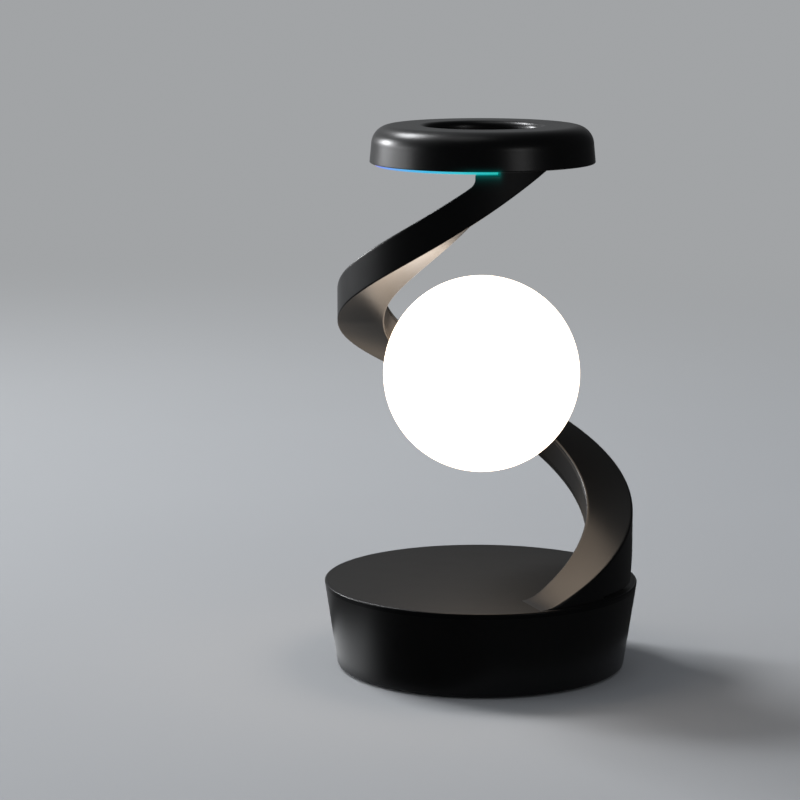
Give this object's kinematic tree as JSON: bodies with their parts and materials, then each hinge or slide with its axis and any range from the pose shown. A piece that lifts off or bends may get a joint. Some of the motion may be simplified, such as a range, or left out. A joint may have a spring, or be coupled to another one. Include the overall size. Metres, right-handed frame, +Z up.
{
  "type": "magnetic globe lamp",
  "caption": "Table lamp: a spiral arm rises from a round charging base, holds a pull-off magnetic glowing globe on its inner face and ends in a ring with a colour light line.",
  "frame": {"origin": "centre of the base on the surface it stands on", "axes": "+Z up, -Y to the front, where the arm's root runs out on to the deck; the arm climbs anticlockwise seen from above"},
  "size_m": [0.1498, 0.1498, 0.2592],
  "materials": {
    "body_black": "satin black moulded plastic",
    "deck_black": "fine matt black moulded plastic with a soft sheen",
    "rubber": "matt rubber",
    "ballast": "raw cast iron",
    "steel": "zinc-plated steel",
    "copper": "enamelled copper wire",
    "ferrite": "sintered ferrite",
    "inner_plastic": "plain moulded plastic",
    "board": "green solder mask",
    "parts_dark": "moulded component bodies",
    "button": "satin black plastic",
    "switch": "moulded switch bodies",
    "cable": "flat flexible cable",
    "guide": "milky light guide lit in changing colours",
    "strip": "white flexible strip",
    "led": "LED package",
    "magnet": "nickel-plated magnet",
    "contact": "gold-plated contact",
    "opal": "opal white plastic lit from inside",
    "aluminium": "turned aluminium"
  },
  "bodies": {
    "base_and_arm": {"base_housing": "body_black", "charging_deck": "deck_black", "base_plate": "body_black", "foot_ring": "rubber", "ballast": "ballast", "base_screws": "steel", "ballast_screws": "steel", "charging_coil": "copper", "coil_ferrite": "ferrite", "coil_carrier": "inner_plastic", "main_board": "board", "board_parts": "parts_dark", "usb_socket": "steel", "switches": "switch", "switch_boards": "board", "arm_shell": "body_black", "arm_cover": "body_black", "arm_spine": "steel", "arm_ribbon": "cable", "root_plate": "steel", "root_screws": "steel", "ring_shell": "body_black", "ring_base": "body_black", "light_guide": "guide", "ring_led_strip": "strip", "ring_leds": "led", "end_screws": "steel", "globe_seat": "body_black", "seat_magnet": "magnet", "seat_contacts": "contact", "seat_screw": "steel"},
    "globe": {"globe_shade": "opal", "globe_collar": "body_black", "globe_keeper": "steel", "globe_contacts": "contact", "led_post": "aluminium", "led_board": "board", "led_chips": "led"},
    "lamp_key": {"lamp_button": "button"},
    "ring_key": {"ring_button": "button"}
  },
  "joints": [
    {"name": "globe_pull_off", "type": "slide", "parent": "base_and_arm", "child": "globe", "axis": [0.5517, -0.834, 0], "range_m": [0, 0.16]},
    {"name": "lamp_button_press", "type": "slide", "parent": "base_and_arm", "child": "lamp_key", "axis": [0.5299, -0.848, 0], "range_m": [0, 0.0008], "stiffness_N_per_m": 800, "springref_m": -0.0005},
    {"name": "ring_button_press", "type": "slide", "parent": "base_and_arm", "child": "ring_key", "axis": [-0.5299, -0.848, 0], "range_m": [0, 0.0008], "stiffness_N_per_m": 800, "springref_m": -0.0005}
  ]
}
